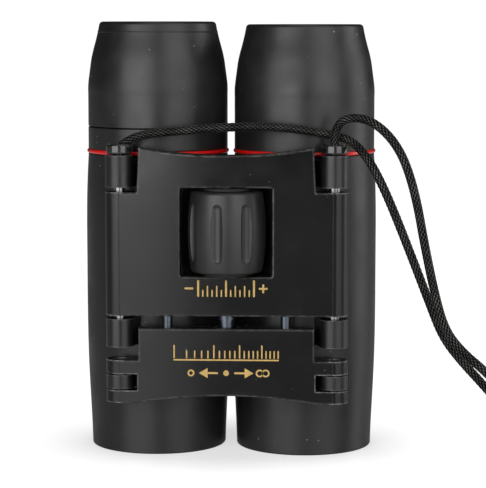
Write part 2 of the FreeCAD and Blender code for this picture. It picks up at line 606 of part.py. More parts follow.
# ---- neck cord -----------------------------------------------------------------------------
def cord_tube(name, route):
    """Tube along straight runs joined by tangent arcs, each as large as its runs allow."""
    points = [V(*p) for p in route]
    edges = []
    radii = []
    at = points[0]
    for before, corner, after in zip(points, points[1:], points[2:]):
        back = before.sub(corner)
        ahead = after.sub(corner)
        turn = math.pi - back.getAngle(ahead)
        trim = 0.45 * min(back.Length, ahead.Length)
        radii.append(trim / math.tan(turn / 2))
        start = corner.add(back.normalize().multiply(trim))
        end = corner.add(ahead.normalize().multiply(trim))
        bisector = start.add(end).multiply(0.5).sub(corner)
        middle_reach = bisector.Length
        centre_reach = radii[-1] / math.cos(turn / 2)
        touch = bisector.normalize().multiply(centre_reach - radii[-1])
        edges.append(Part.LineSegment(at, start).toShape())
        if middle_reach > 1e-6:
            edges.append(Part.Arc(start, corner.add(touch), end).toShape())
        at = end
    edges.append(Part.LineSegment(at, points[-1]).toShape())
    path = Part.Wire(edges)
    heading = points[1].sub(points[0])
    disc = Part.Wire(Part.makeCircle(CORD_DIAMETER / 2, points[0], heading))
    tube = path.makePipeShell([disc], True, True)
    expected = math.pi * CORD_DIAMETER ** 2 / 4 * path.Length
    print(name, "length", round(path.Length, 1), "least radius", round(min(radii), 1),
          "volume ratio", round(tube.Volume / expected, 4))
    return tube


def make_cord():
    """The cord's two leads, the coil of its spare length and the tie round the coil."""
    shapes["cord_left_lead"] = cord_tube("left lead", CORD_LEFT)
    shapes["cord_right_lead"] = cord_tube("right lead", CORD_RIGHT)
    low, high = COIL_HEIGHTS
    outer = COIL_RADIUS + COIL_WIDTH / 2
    inner = COIL_RADIUS - COIL_WIDTH / 2
    coil = ring(outer, inner, low, high, *COIL_CENTRE)
    coil = rounded(coil, [e for e in coil.Edges if e.BoundBox.ZLength < 1e-6], 0.9)
    shapes["cord_coil"] = coil
    x0 = COIL_CENTRE[0] + inner - 0.25
    x1 = COIL_CENTRE[0] + outer + 0.1
    y0 = COIL_CENTRE[1] - TIE_WIDTH / 2
    y1 = COIL_CENTRE[1] + TIE_WIDTH / 2
    band = block(x0 - TIE_THICKNESS, x1 + TIE_THICKNESS, y0, y1, low - TIE_THICKNESS - 0.05,
                 high + TIE_THICKNESS + 0.05)
    shapes["cord_tie"] = band.cut(block(x0, x1, y0 - 1, y1 + 1, low - 0.05, high + 0.05))


def main():
    """Build every sub-part and write it to parts/."""
    for side in SIDES:
        make_barrel(side)
    make_bridge()
    make_focus_drive()
    make_cord()
    os.makedirs("parts", exist_ok=True)
    for name, shape in shapes.items():
        shape.exportStep("parts/" + name + ".step")
        state = "ok" if shape.isValid() else "INVALID"
        print(name, len(shape.Solids), "solid(s)", round(shape.Volume, 1), "mm3", state)


main()
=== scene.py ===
"""Looks for the folding pocket binoculars: finishes, neck cord, printed scales and studio."""
import json
import logging
import math
from dataclasses import dataclass, field
from enum import Enum
from typing import Any, Callable, Iterable, Sequence

import bmesh
import bpy
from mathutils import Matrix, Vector

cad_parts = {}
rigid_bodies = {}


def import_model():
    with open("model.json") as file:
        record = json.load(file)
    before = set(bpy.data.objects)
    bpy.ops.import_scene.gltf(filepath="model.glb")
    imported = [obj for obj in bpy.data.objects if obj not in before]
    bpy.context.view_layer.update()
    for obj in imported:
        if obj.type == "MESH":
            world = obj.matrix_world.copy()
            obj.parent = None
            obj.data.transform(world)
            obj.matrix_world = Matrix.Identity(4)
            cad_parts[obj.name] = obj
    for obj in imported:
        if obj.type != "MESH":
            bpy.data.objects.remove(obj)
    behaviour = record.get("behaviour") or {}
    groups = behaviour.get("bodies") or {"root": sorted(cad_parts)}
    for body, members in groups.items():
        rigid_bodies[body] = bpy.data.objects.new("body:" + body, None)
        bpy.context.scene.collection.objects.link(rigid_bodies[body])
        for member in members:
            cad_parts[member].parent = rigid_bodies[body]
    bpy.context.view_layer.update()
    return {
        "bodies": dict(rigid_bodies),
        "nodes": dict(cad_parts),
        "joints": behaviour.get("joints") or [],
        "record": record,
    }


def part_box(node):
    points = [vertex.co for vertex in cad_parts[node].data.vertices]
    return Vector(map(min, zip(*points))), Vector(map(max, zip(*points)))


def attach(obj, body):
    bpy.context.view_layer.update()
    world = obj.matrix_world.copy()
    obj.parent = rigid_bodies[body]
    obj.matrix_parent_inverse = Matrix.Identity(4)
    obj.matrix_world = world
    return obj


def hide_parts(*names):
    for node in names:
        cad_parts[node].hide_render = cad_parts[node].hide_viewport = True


LOG = logging.getLogger("binoculars")
MM = 0.001
Colour = tuple[float, float, float]
Point = tuple[float, float, float]


class Side(Enum):
    """One barrel, named as it is seen from the front of the hinge plates."""

    LEFT = "left"
    RIGHT = "right"


class Body(Enum):
    """CAD bodies that added pieces ride on."""

    BRIDGE = "bridge"
    FOCUS_PLATE = "focus_bridge"
    DIOPTRE = "left_diopter"


# ---- shader helpers ------------------------------------------------------------------------
class Graph:
    """A shader node tree that is filled in one call per node."""

    def __init__(self, tree: bpy.types.NodeTree) -> None:
        """Keeps the tree and empties it.

        Args:
            tree: The material, world or group tree to fill.
        """
        self.tree = tree
        tree.nodes.clear()

    def add(self, kind: str, inputs: dict[Any, Any] | None = None,
            **settings: Any) -> bpy.types.Node:
        """Adds one node.

        Args:
            kind: Node type without its "ShaderNode" prefix.
            inputs: Socket name or index to a constant or to another node's output.
            **settings: Node properties.

        Returns:
            The new node.
        """
        node = self.tree.nodes.new("ShaderNode" + kind)
        for name, value in settings.items():
            setattr(node, name, value)
        for key, value in (inputs or {}).items():
            socket = node.inputs[key]
            if isinstance(value, bpy.types.NodeSocket):
                self.tree.links.new(value, socket)
            elif socket.type == "RGBA" and len(value) == 3:
                socket.default_value = (*value, 1.0)
            else:
                socket.default_value = value
        return node

    def math(self, operation: str, *values: Any) -> bpy.types.NodeSocket:
        """Adds a math node and returns its output."""
        return self.add("Math", dict(enumerate(values)), operation=operation).outputs[0]

    def ramp(self, value: bpy.types.NodeSocket, low: float, high: float, to_low: float = 0.0,
             to_high: float = 1.0) -> bpy.types.NodeSocket:
        """Maps a value between two limits, clamped.

        Args:
            value: Output to map.
            low: Value that gives to_low.
            high: Value that gives to_high.
            to_low: Result at the low end.
            to_high: Result at the high end.

        Returns:
            The mapped output.
        """
        sockets = {"Value": value, "From Min": low, "From Max": high, "To Min": to_low,
                   "To Max": to_high}
        return self.add("MapRange", sockets).outputs["Result"]

    def mix(self, factor: Any, first: Any, second: Any) -> bpy.types.NodeSocket:
        """Mixes two colours and returns the result."""
        node = self.add("Mix", {0: factor, 6: first, 7: second}, data_type="RGBA")
        return node.outputs[2]


class ShaderGroups:
    """Effects that several finishes share, each built once as a node group."""

    def __init__(self) -> None:
        """Builds every group."""
        self.grain = self._group("moulded_grain", {"Scale": 4000.0, "Cloud Scale": 90.0},
                                 ("Height", "Cloud"), self._fill_grain)
        self.wear_and_highlight = self._group("edge_wear_and_highlight", {"Radius": 0.0004, "Amount": 1.0, "Break Up": 900.0},
                                ("Mask",), self._fill_wear_and_highlight)
        self.dust = self._group("dust_specks", {"Scale": 500.0, "Size": 0.1}, ("Mask",),
                                self._fill_dust)
        self.turning = self._group("turning_marks", {"Rings": 9000.0}, ("Height",),
                                   self._fill_turning)

    @staticmethod
    def _group(name: str, inputs: dict[str, float], outputs: Sequence[str],
               fill: Callable[[Graph, bpy.types.Node, bpy.types.Node], None]) -> bpy.types.NodeTree:
        """Makes one group.

        Args:
            name: The group's name.
            inputs: Input names with their defaults.
            outputs: Output names.
            fill: Function that adds the nodes between the group's two ends.

        Returns:
            The node group.
        """
        tree = bpy.data.node_groups.new(name, "ShaderNodeTree")
        for label, value in inputs.items():
            socket = tree.interface.new_socket(label, in_out="INPUT", socket_type="NodeSocketFloat")
            socket.default_value = value
        for label in outputs:
            tree.interface.new_socket(label, in_out="OUTPUT", socket_type="NodeSocketFloat")
        graph = Graph(tree)
        start = tree.nodes.new("NodeGroupInput")
        end = tree.nodes.new("NodeGroupOutput")
        fill(graph, start, end)
        return tree

    @staticmethod
    def _fill_grain(graph: Graph, start: bpy.types.Node, end: bpy.types.Node) -> None:
        """Fine moulded grain with slow cloudy variation."""
        place = graph.add("TexCoord").outputs["Object"]
        fine = graph.add("TexNoise", {"Vector": place, "Scale": start.outputs["Scale"],
                                      "Detail": 3.0, "Roughness": 0.6})
        cloud = graph.add("TexNoise", {"Vector": place, "Scale": start.outputs["Cloud Scale"],
                                       "Detail": 4.0, "Roughness": 0.55})
        graph.tree.links.new(fine.outputs["Fac"], end.inputs["Height"])
        graph.tree.links.new(graph.ramp(cloud.outputs["Fac"], 0.3, 0.7), end.inputs["Cloud"])

    @staticmethod
    def _fill_wear_and_highlight(graph: Graph, start: bpy.types.Node, end: bpy.types.Node) -> None:
        """Rubbed edges, and on the plate also painted edge highlight: where a rounded normal leaves
        the true one, broken up by noise.
        """
        soft = graph.add("Bevel", {"Radius": start.outputs["Radius"]}, samples=4)
        true = graph.add("NewGeometry")
        dot = graph.add("VectorMath", {0: soft.outputs["Normal"], 1: true.outputs["Normal"]},
                        operation="DOT_PRODUCT")
        bend = graph.ramp(dot.outputs["Value"], 0.995, 0.86)
        place = graph.add("TexCoord").outputs["Object"]
        noise = graph.add("TexNoise", {"Vector": place, "Scale": start.outputs["Break Up"],
                                       "Detail": 3.0})
        broken = graph.ramp(noise.outputs["Fac"], 0.3, 0.62)
        mask = graph.math("MULTIPLY", graph.math("MULTIPLY", bend, broken), start.outputs["Amount"])
        graph.tree.links.new(mask, end.inputs["Mask"])

    @staticmethod
    def _fill_dust(graph: Graph, start: bpy.types.Node, end: bpy.types.Node) -> None:
        """Sparse round specks of lint and dust."""
        place = graph.add("TexCoord").outputs["Object"]
        cells = graph.add("TexVoronoi", {"Vector": place, "Scale": start.outputs["Scale"]})
        speck = graph.math("LESS_THAN", cells.outputs["Distance"], start.outputs["Size"])
        patch = graph.add("TexNoise", {"Vector": place, "Scale": 150.0, "Detail": 2.0})
        chosen = graph.ramp(patch.outputs["Fac"], 0.56, 0.64)
        graph.tree.links.new(graph.math("MULTIPLY", speck, chosen), end.inputs["Mask"])

    @staticmethod
    def _fill_turning(graph: Graph, start: bpy.types.Node, end: bpy.types.Node) -> None:
        """Fine lathe lines that run round an upright axis."""
        place = graph.add("TexCoord").outputs["Object"]
        squash = graph.add("Mapping", {"Vector": place, "Scale": (0.02, 0.02, 1.0)})
        noise = graph.add("TexNoise", {"Vector": squash.outputs[0], "Scale": start.outputs["Rings"],
                                       "Detail": 2.0})
        graph.tree.links.new(noise.outputs["Fac"], end.inputs["Height"])

    def place(self, graph: Graph, tree: bpy.types.NodeTree, **values: float) -> bpy.types.Node:
        """Puts a group into a material.

        Args:
            graph: The material's graph.
            tree: The group.
            **values: Input values, with _ for a space in a name.

        Returns:
            The group node.
        """
        node = graph.tree.nodes.new("ShaderNodeGroup")
        node.node_tree = tree
        for name, value in values.items():
            node.inputs[name.replace("_", " ").title()].default_value = value
        return node


def new_material(name: str, constants: dict[str, Any]
                 ) -> tuple[Graph, bpy.types.Node, bpy.types.Material]:
    """Starts a material with one Principled shader.

    Args:
        name: The material's name.
        constants: Principled sockets that are the same all over the surface.

    Returns:
        The graph, the Principled node and the material.
    """
    material = bpy.data.materials.new(name)
    material.use_nodes = True
    graph = Graph(material.node_tree)
    shader = graph.add("BsdfPrincipled", constants)
    out = graph.add("OutputMaterial")
    graph.tree.links.new(shader.outputs[0], out.inputs["Surface"])
    return graph, shader, material


def link(graph: Graph, source: bpy.types.NodeSocket, shader: bpy.types.Node, name: str) -> None:
    """Feeds an output to a named Principled input."""
    graph.tree.links.new(source, shader.inputs[name])


# ---- finishes ------------------------------------------------------------------------------
@dataclass(frozen=True)
class MouldedFinish:
    """Rubber, moulded plastic or grained paint: grain, cloudy tone, dust and rubbed edges, whose
    pale colour on the plate is also painted highlight.
    """

    name: str
    colour: Colour
    pale: Colour
    roughness: float
    roughness_spread: float = 0.08
    grain: float = 4000.0
    depth: float = 0.00001
    dust_size: float = 0.0
    specular: float = 0.5
    sheen: float = 0.0
    coat: float = 0.0
    wear_and_highlight: float = 0.0
    wear_and_highlight_colour: Colour = (0.35, 0.35, 0.34)
    wear_and_highlight_radius: float = 0.0004
    rolled_roughness: float = 0.0

    def build(self, groups: ShaderGroups) -> bpy.types.Material:
        """Builds the material.

        Args:
            groups: Shared shader groups.

        Returns:
            The material.
        """
        graph, shader, material = new_material(self.name, {
            "Specular IOR Level": self.specular, "Sheen Weight": self.sheen,
            "Sheen Roughness": 0.45, "Coat Weight": self.coat, "Coat Roughness": 0.12})
        grain = groups.place(graph, groups.grain, scale=self.grain, cloud_scale=140.0)
        tone = graph.mix(grain.outputs["Cloud"], self.colour, self.pale)
        rough = graph.ramp(grain.outputs["Cloud"], 0.0, 1.0, self.roughness - self.roughness_spread,
                           self.roughness + self.roughness_spread)
        if self.rolled_roughness:
            facing = graph.add("SeparateXYZ", {
                "Vector": graph.add("NewGeometry").outputs["Normal"]}).outputs["Y"]
            flat = graph.ramp(graph.math("ABSOLUTE", facing), 0.96, 0.999)
            rough = graph.add("MapRange", {
                "Value": flat, "To Min": self.rolled_roughness, "To Max": rough}).outputs["Result"]
        if self.dust_size:
            dust = groups.place(graph, groups.dust, scale=520.0, size=self.dust_size)
            tone = graph.mix(dust.outputs["Mask"], tone, (0.3, 0.3, 0.28))
        # Rubbed-edge colour: real wear, and on the plate also painted highlight along the edges.
        if self.wear_and_highlight:
            wear_and_highlight = groups.place(graph, groups.wear_and_highlight, radius=self.wear_and_highlight_radius, amount=self.wear_and_highlight)
            tone = graph.mix(wear_and_highlight.outputs["Mask"], tone, self.wear_and_highlight_colour)
        bump = graph.add("Bump", {"Height": grain.outputs["Height"], "Strength": 0.6,
                                  "Distance": self.depth})
        link(graph, tone, shader, "Base Color")
        link(graph, rough, shader, "Roughness")
        link(graph, bump.outputs["Normal"], shader, "Normal")
        return material


@dataclass(frozen=True)
class MetalFinish:
    """Turned, polished or plated metal with lathe lines, dull handling patches and painted shade
    above a given height.
    """

    name: str
    colour: Colour
    dull: Colour
    roughness: float
    rings: float = 9000.0
    depth: float = 0.000004
    painted_shade_above: float = 1.0

    def build(self, groups: ShaderGroups) -> bpy.types.Material:
        """Builds the material.

        Args:
            groups: Shared shader groups.

        Returns:
            The material.
        """
        graph, shader, material = new_material(self.name, {"Metallic": 1.0})
        grain = groups.place(graph, groups.grain, scale=2500.0, cloud_scale=420.0)
        turning = groups.place(graph, groups.turning, rings=self.rings)
        bare = graph.mix(grain.outputs["Cloud"], self.dull, self.colour)
        # Near-black above the given height: painted shade where the pins run up into the gap under
        # the cord lugs.
        height = graph.add("SeparateXYZ", {
            "Vector": graph.add("TexCoord").outputs["Object"]}).outputs["Z"]
        painted_shade = graph.ramp(height, self.painted_shade_above - 0.00005, self.painted_shade_above + 0.00005)
        tone = graph.mix(painted_shade, bare, (0.012, 0.012, 0.013))
        rough = graph.ramp(grain.outputs["Cloud"], 0.0, 1.0, self.roughness + 0.14, self.roughness)
        bump = graph.add("Bump", {"Height": turning.outputs["Height"], "Strength": 0.5,
                                  "Distance": self.depth})
        link(graph, tone, shader, "Base Color")
        link(graph, rough, shader, "Roughness")
        link(graph, bump.outputs["Normal"], shader, "Normal")
        return material


@dataclass(frozen=True)
class GlassFinish:
    """Optical glass with a faint coloured coating and a few dust specks."""

    name: str
    tint: Colour
    coating: Colour
    coat: float

    def build(self, groups: ShaderGroups) -> bpy.types.Material:
        """Builds the material.

        Args:
            groups: Shared shader groups.

        Returns:
            The material.
        """
        graph, shader, material = new_material(self.name, {
            "Transmission Weight": 1.0, "IOR": 1.52, "Coat Weight": self.coat,
            "Coat Roughness": 0.02, "Coat Tint": self.coating, "Specular Tint": self.coating})
        dust = groups.place(graph, groups.dust, scale=700.0, size=0.07)
        tone = graph.mix(dust.outputs["Mask"], self.tint, (0.7, 0.7, 0.68))
        rough = graph.ramp(dust.outputs["Mask"], 0.0, 1.0, 0.015, 0.5)
        link(graph, tone, shader, "Base Color")
        link(graph, rough, shader, "Roughness")
        return material


@dataclass(frozen=True)
class CordFinish:
    """Braided nylon: shiny stitch crowns, painted shade in the gaps between them and fine filament
    lines.
    """

    name: str
    painted_gap_shade: Colour
    crown: Colour

    def build(self, groups: ShaderGroups) -> bpy.types.Material:
        """Builds the material.

        Args:
            groups: Shared shader groups.

        Returns:
            The material.
        """
        graph, shader, material = new_material(self.name, {
            "Sheen Weight": 0.05, "Sheen Roughness": 0.4})
        height = graph.add("Attribute", attribute_name=BraidedCord.CROWN).outputs["Fac"]
        grain = groups.place(graph, groups.grain, scale=9000.0, cloud_scale=300.0)
        patches = graph.ramp(grain.outputs["Cloud"], 0.0, 1.0, 0.75, 1.1)
        shown = graph.math("MULTIPLY", height, patches)
        # Colour runs from painted shade in the stitch gaps to the cord's own tone on the crowns.
        tone = graph.mix(graph.ramp(shown, 0.55, 1.0), self.painted_gap_shade, self.crown)
        link(graph, graph.ramp(height, 0.35, 1.0, 0.0, 0.6), shader, "Specular IOR Level")
        rough = graph.ramp(height, 0.0, 1.0, 0.75, 0.38)
        bump = graph.add("Bump", {"Height": grain.outputs["Height"], "Strength": 0.7,
                                  "Distance": 0.00003})
        link(graph, tone, shader, "Base Color")
        link(graph, rough, shader, "Roughness")
        link(graph, bump.outputs["Normal"], shader, "Normal")
        return material


@dataclass(frozen=True)
class PrintFinish:
    """Screen-printed metallic ink, thin in places."""

    name: str
    ink: Colour
    thin: Colour

    def build(self, groups: ShaderGroups) -> bpy.types.Material:
        """Builds the material.

        Args:
            groups: Shared shader groups.

        Returns:
            The material.
        """
        graph, shader, material = new_material(self.name, {"Specular IOR Level": 0.4})
        grain = groups.place(graph, groups.grain, scale=3000.0, cloud_scale=900.0)
        tone = graph.mix(grain.outputs["Cloud"], self.thin, self.ink)
        rough = graph.ramp(grain.outputs["Height"], 0.3, 0.7, 0.42, 0.6)
        bump = graph.add("Bump", {"Height": grain.outputs["Height"], "Strength": 0.4,
                                  "Distance": 0.00001})
        link(graph, tone, shader, "Base Color")
        link(graph, rough, shader, "Roughness")
        link(graph, bump.outputs["Normal"], shader, "Normal")
        return material


FINISHES = {
    "armour": MouldedFinish("armour_rubber", (0.0080, 0.0080, 0.0082), (0.0120, 0.0120, 0.0122),
                            0.40, grain=2600.0, depth=0.00002, dust_size=0.075, wear_and_highlight=0.18,
                            wear_and_highlight_colour=(0.05, 0.05, 0.049)),
    "eyecup": MouldedFinish("eyecup_rubber", (0.0086, 0.0086, 0.0086), (0.0130, 0.0130, 0.0128),
                            0.40, grain=2400.0, depth=0.00002, dust_size=0.08, wear_and_highlight=0.2,
                            wear_and_highlight_colour=(0.055, 0.055, 0.053)),
    # Plate edges: the pale edge colour is partly wear, partly painted highlight standing in for
    # glints on the edges.
    "plate": MouldedFinish("grained_black_plate", (0.0028, 0.0028, 0.0029),
                           (0.0050, 0.0050, 0.0051), 0.10, roughness_spread=0.05,
                           grain=3000.0, depth=0.00001, dust_size=0.06, specular=0.36,
                           wear_and_highlight=0.85, wear_and_highlight_colour=(0.36, 0.355, 0.34), wear_and_highlight_radius=0.0005,
                           rolled_roughness=0.36),
    "moulding": MouldedFinish("barrel_moulding", (0.0055, 0.0055, 0.0058), (0.0090, 0.0090, 0.0092),
                              0.36, grain=3000.0, depth=0.000016, wear_and_highlight=0.6,
                              wear_and_highlight_colour=(0.22, 0.22, 0.215)),
    "lug": MouldedFinish("glossy_lug", (0.0070, 0.0070, 0.0075), (0.0140, 0.0140, 0.0145), 0.14,
                         roughness_spread=0.05, depth=0.000006, coat=0.4, wear_and_highlight=0.7),
    "wheel": MouldedFinish("wheel_rubber", (0.013, 0.0135, 0.0128), (0.019, 0.0195, 0.0185), 0.40,
                           grain=2600.0, depth=0.000014, dust_size=0.06, wear_and_highlight=0.25,
                           wear_and_highlight_colour=(0.08, 0.08, 0.077)),
    "red": MouldedFinish("red_trim", (0.66, 0.006, 0.006), (0.76, 0.010, 0.009), 0.22,
                         roughness_spread=0.05, depth=0.000004, coat=0.5),
    "inside": MouldedFinish("flat_black_inside", (0.006, 0.006, 0.006), (0.010, 0.010, 0.010), 0.7,
                            grain=5000.0, depth=0.00002),
    "anodised": MouldedFinish("black_anodised", (0.012, 0.012, 0.014), (0.020, 0.020, 0.022), 0.3,
                              depth=0.000008, coat=0.2, wear_and_highlight=0.5),
    "tie": MouldedFinish("tie_strip", (0.015, 0.015, 0.015), (0.024, 0.024, 0.024), 0.42,
                         depth=0.00001),
    # The pins are painted near-black above 66.35 mm: painted shade in the gap under the cord lugs.
    "chrome": MetalFinish("polished_pin", (0.42, 0.43, 0.44), (0.10, 0.102, 0.105), 0.16,
                          painted_shade_above=0.06635),
    "steel": MetalFinish("turned_steel", (0.105, 0.12, 0.145), (0.06, 0.068, 0.08), 0.24),
    "brass": MetalFinish("turned_brass", (0.80, 0.58, 0.26), (0.55, 0.38, 0.16), 0.25),
    "spring": MetalFinish("spring_steel", (0.55, 0.56, 0.58), (0.38, 0.39, 0.41), 0.22),
    "coated_glass": GlassFinish("coated_lens", (0.93, 0.95, 0.93), (0.75, 0.45, 0.85), 0.6),
    "clear_glass": GlassFinish("clear_lens", (0.96, 0.98, 0.97), (0.8, 0.9, 1.0), 0.2),
    # First colour: painted shade for the gaps between stitches.
    "cord": CordFinish("braided_nylon", (0.0006, 0.0006, 0.0006), (0.115, 0.115, 0.105)),
    "gold": PrintFinish("gold_ink", (0.62, 0.42, 0.14), (0.46, 0.30, 0.09)),
}

NODE_FINISH = {
    "armour": "armour", "tube": "moulding", "collar": "armour", "red_ring": "red",
    "eyecup": "eyecup", "eyepiece_sleeve": "inside", "eyepiece_cell": "anodised",
    "lens_spacer": "inside", "prism_holder": "inside", "prism_clip": "spring",
    "lower_prism": "clear_glass", "roof_prism": "clear_glass", "field_lens": "clear_glass",
    "eye_lens": "coated_glass", "objective_front_lens": "coated_glass",
    "objective_rear_lens": "clear_glass", "objective_ring": "anodised",
    "objective_tube": "moulding", "cord_lug": "lug",
    "bridge_plate": "plate", "focus_plate": "plate", "upper_hinge_pins": "chrome",
    # The wheel washers take the flat black inside finish: partly their own black, partly painted
    # shade for the dark line at the wheel's bottom edge.
    "lower_hinge_pins": "chrome", "wheel_washers": "inside", "shaft_bushes": "brass",
    "focus_nut": "brass", "wheel_grip": "wheel", "focus_screw": "steel", "guide_rods": "steel",
    "cord_tie": "tie",
}


class FinishShop:
    """Builds each finish once and dresses CAD nodes and new pieces with it."""

    def __init__(self) -> None:
        """Starts with the shared groups and no materials."""
        self.groups = ShaderGroups()
        self.made: dict[str, bpy.types.Material] = {}

    def get(self, finish: str) -> bpy.types.Material:
        """Returns the material of a finish, built at its first use."""
        if finish not in self.made:
            self.made[finish] = FINISHES[finish].build(self.groups)
        return self.made[finish]

    def dress(self, piece: bpy.types.Object, finish: str) -> None:
        """Gives a piece one finish all over.

        Args:
            piece: A CAD node's object or a new piece.
            finish: Key in FINISHES.
        """
        if not piece.material_slots:
            piece.data.materials.append(None)
        for slot in piece.material_slots:
            slot.material = self.get(finish)


# ---- mesh helpers --------------------------------------------------------------------------
def new_piece(name: str, mesh: bpy.types.Mesh, smooth: bool = True) -> bpy.types.Object:
    """Adds a mesh to the scene as a piece.

    Args:
        name: The piece's name.
        mesh: Its mesh.
        smooth: Whether its faces shade smoothly.

    Returns:
        The object.
    """
    for polygon in mesh.polygons:
        polygon.use_smooth = smooth
    piece = bpy.data.objects.new(name, mesh)
    bpy.context.scene.collection.objects.link(piece)
    return piece


def lathe(name: str, profile: Sequence[tuple[float, float]], centre: tuple[float, float],
          steps: int = 96) -> bpy.types.Object:
    """Turns a closed (radius, height) outline about an upright axis.

    Args:
        name: The piece's name.
        profile: The outline's corners in order, in metres.
        centre: The axis's x and y.
        steps: Faces round the axis.

    Returns:
        The turned piece.
    """
    count = len(profile)
    points = []
    faces = []
    for step in range(steps):
        angle = 2 * math.pi * step / steps
        for radius, height in profile:
            points.append((centre[0] + radius * math.cos(angle),
                           centre[1] + radius * math.sin(angle), height))
        ahead = (step + 1) % steps
        for index in range(count):
            after = (index + 1) % count
            faces.append((step * count + index, ahead * count + index, ahead * count + after,
                          step * count + after))
    mesh = bpy.data.meshes.new(name)
    mesh.from_pydata(points, [], faces)
    return new_piece(name, mesh)


# ---- neck cord -----------------------------------------------------------------------------
@dataclass
class BraidedCord:
    """Neck cord from the left lug to the right lug, with its spare length in a tied coil."""

    CROWN = "braid_crown"

    diameter: float = 0.002
    strands: int = 8
    stitch: float = 0.0011
    relief: float = 0.18
    around: int = 28
    step: float = 0.00027
    coil_centre: tuple[float, float] = (0.088, -0.022)
    coil_radius: float = 0.012
    coil_floor: float = 0.0015
    turn_pitch: float = 0.00202
    points_per_turn: int = 16
    left_route: list[Point] = field(default_factory=lambda: [
        (-0.0229, -0.0133, 0.0683), (-0.0208, -0.0130, 0.0699), (-0.0166, -0.0124, 0.0710),
        (-0.0086, -0.0119, 0.0716), (0.0020, -0.0118, 0.0725), (0.0128, -0.0117, 0.0723),
        (0.0204, -0.0114, 0.0711), (0.0263, -0.0129, 0.0700), (0.0299, -0.0170, 0.0666),
        (0.0329, -0.0198, 0.0614), (0.0359, -0.0207, 0.0546), (0.0398, -0.0207, 0.0448),
        (0.0433, -0.0205, 0.0358), (0.0462, -0.0204, 0.0284), (0.0502, -0.0203, 0.0232),
        (0.0560, -0.0203, 0.0170), (0.0612, -0.0196, 0.0106), (0.0666, -0.0170, 0.0049),
        (0.0724, -0.0129, 0.0020), (0.0796, -0.0102, 0.00155), (0.0870, -0.0100, 0.0015)])
    right_route: list[Point] = field(default_factory=lambda: [
        (0.0232, -0.0141, 0.0679), (0.0230, -0.0142, 0.0715), (0.0251, -0.0152, 0.0744),
        (0.0289, -0.0172, 0.0747), (0.0324, -0.0197, 0.0731), (0.0356, -0.0217, 0.0699),
        (0.0381, -0.0230, 0.0654), (0.0403, -0.0239, 0.0580), (0.0421, -0.0243, 0.0482),
        (0.0442, -0.0244, 0.0384), (0.0464, -0.0243, 0.0306), (0.0500, -0.0242, 0.0259),
        (0.0556, -0.0241, 0.0212), (0.0607, -0.0247, 0.0156), (0.0658, -0.0268, 0.0094),
        (0.0716, -0.0306, 0.0042), (0.0790, -0.0336, 0.0017), (0.0870, -0.0340, 0.0015)])

    # Places of the coil's turns in its section, as (rings outward, layers up) from the entry.
    SEATS = ((0, 0), (-1, 0), (-1, 1), (-1, 2), (0, 2), (1, 2), (0, 1), (1, 1), (1, 0), (0, 0))

    def coil_points(self) -> list[Point]:
        """Works out the coil's turns.

        Returns:
            Points from the left lead's end to the right lead's end, clockwise from above.
        """
        turns = len(self.SEATS) - 1.5
        total = int(turns * self.points_per_turn)
        points = []
        for index in range(1, total):
            swept = index / self.points_per_turn
            turn = int(swept)
            shift = min(1.0, 2.0 * (swept - turn))
            ease = shift * shift * (3 - 2 * shift)
            here = self.SEATS[turn]
            after = self.SEATS[min(turn + 1, len(self.SEATS) - 1)]
            ring = here[0] + (after[0] - here[0]) * ease
            layer = here[1] + (after[1] - here[1]) * ease
            radius = self.coil_radius + ring * self.turn_pitch
            angle = math.pi / 2 - 2 * math.pi * swept
            points.append((self.coil_centre[0] + radius * math.cos(angle),
                           self.coil_centre[1] + radius * math.sin(angle),
                           self.coil_floor + layer * self.turn_pitch))
        return points

    def centre_line(self) -> list[Vector]:
        """Reads evenly spaced points from the route's smooth spline.

        Returns:
            Points along the cord, one step apart.
        """
        route = self.left_route + self.coil_points() + self.right_route[::-1]
        curve = bpy.data.curves.new("cord_route", "CURVE")
        curve.dimensions = "3D"
        curve.resolution_u = 10
        spline = curve.splines.new("NURBS")
        spline.points.add(len(route) - 1)
        for point, place in zip(spline.points, route):
            point.co = (*place, 1.0)
        spline.order_u = 3
        spline.use_endpoint_u = True
        holder = bpy.data.objects.new("cord_route", curve)
        line = [v.co.copy() for v in bpy.data.meshes.new_from_object(holder).vertices]
        bpy.data.objects.remove(holder)
        return self._respace(line)

    def _respace(self, line: list[Vector]) -> list[Vector]:
        """Spaces points evenly along a line.

        Args:
            line: Points in order.

        Returns:
            The same line with points one step apart.
        """
        reach = [0.0]
        for a, b in zip(line, line[1:]):
            reach.append(reach[-1] + (b - a).length)
        count = int(reach[-1] / self.step)
        spaced = []
        at = 0
        for index in range(count + 1):
            goal = reach[-1] * index / count
            while at < len(reach) - 2 and reach[at + 1] < goal:
                at += 1
            span = reach[at + 1] - reach[at]
            spaced.append(line[at].lerp(line[at + 1], (goal - reach[at]) / span if span else 0.0))
        return spaced

    def crown(self, turn: float, along: float) -> float:
        """Height of the braid at one place.

        Args:
            turn: Part of a turn round the cord, 0 to 1.
            along: Distance along the cord in metres.

        Returns:
            0 in the gaps between stitches to 1 on their crowns.
        """
        up = self.strands * turn + along / self.stitch
        down = self.strands * turn - along / self.stitch
        if (math.floor(up) + math.floor(down)) % 2:
            across, lengthwise = up % 1.0, down % 1.0
        else:
            across, lengthwise = down % 1.0, up % 1.0
        return math.sin(math.pi * across) ** 0.8 * (0.45 + 0.55 * math.sin(math.pi * lengthwise))

